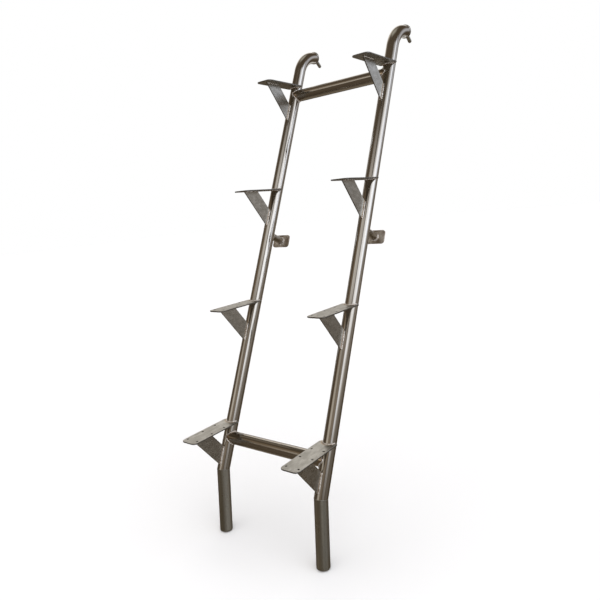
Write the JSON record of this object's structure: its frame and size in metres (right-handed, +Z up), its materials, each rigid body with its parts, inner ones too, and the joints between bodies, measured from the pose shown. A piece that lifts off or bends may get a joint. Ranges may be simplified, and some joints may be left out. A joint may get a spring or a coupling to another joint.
{
  "type": "boat boarding ladder",
  "caption": "Welded stainless boarding ladder with leaning tube rails, hooked tops with pins, hull standoffs and paired tread brackets with screw holes",
  "frame": {"origin": "midway between the roots of the two hook pins, the line the ladder hangs on", "axes": "+X to the right of someone climbing, +Y towards the boat, +Z up and square to the tread plates"},
  "size_m": [0.356, 0.6909, 1.2533],
  "materials": {
    "polished_steel": "polished stainless tube with long soft reflections",
    "satin_steel": "satin stainless plate",
    "dull_steel": "unpolished stainless tube"
  },
  "bodies": {
    "root": {"rail_left": "polished_steel", "leg_left": "dull_steel", "leg_plug_left": "dull_steel", "hook_cap_left": "polished_steel", "hook_pin_left": "dull_steel", "standoff_stub_left": "polished_steel", "standoff_pad_left": "polished_steel", "rail_right": "polished_steel", "leg_right": "dull_steel", "leg_plug_right": "dull_steel", "hook_cap_right": "polished_steel", "hook_pin_right": "dull_steel", "standoff_stub_right": "polished_steel", "standoff_pad_right": "polished_steel", "tread_plate_1_left": "satin_steel", "gusset_1_left": "satin_steel", "tread_plate_1_right": "satin_steel", "gusset_1_right": "satin_steel", "tread_plate_2_left": "satin_steel", "gusset_2_left": "satin_steel", "tread_plate_2_right": "satin_steel", "gusset_2_right": "satin_steel", "tread_plate_3_left": "satin_steel", "gusset_3_left": "satin_steel", "tread_plate_3_right": "satin_steel", "gusset_3_right": "satin_steel", "tread_plate_4_left": "satin_steel", "gusset_4_left": "satin_steel", "tread_plate_4_right": "satin_steel", "gusset_4_right": "satin_steel", "cross_tube_top": "polished_steel", "cross_tube_bottom": "polished_steel"}
  },
  "joints": []
}
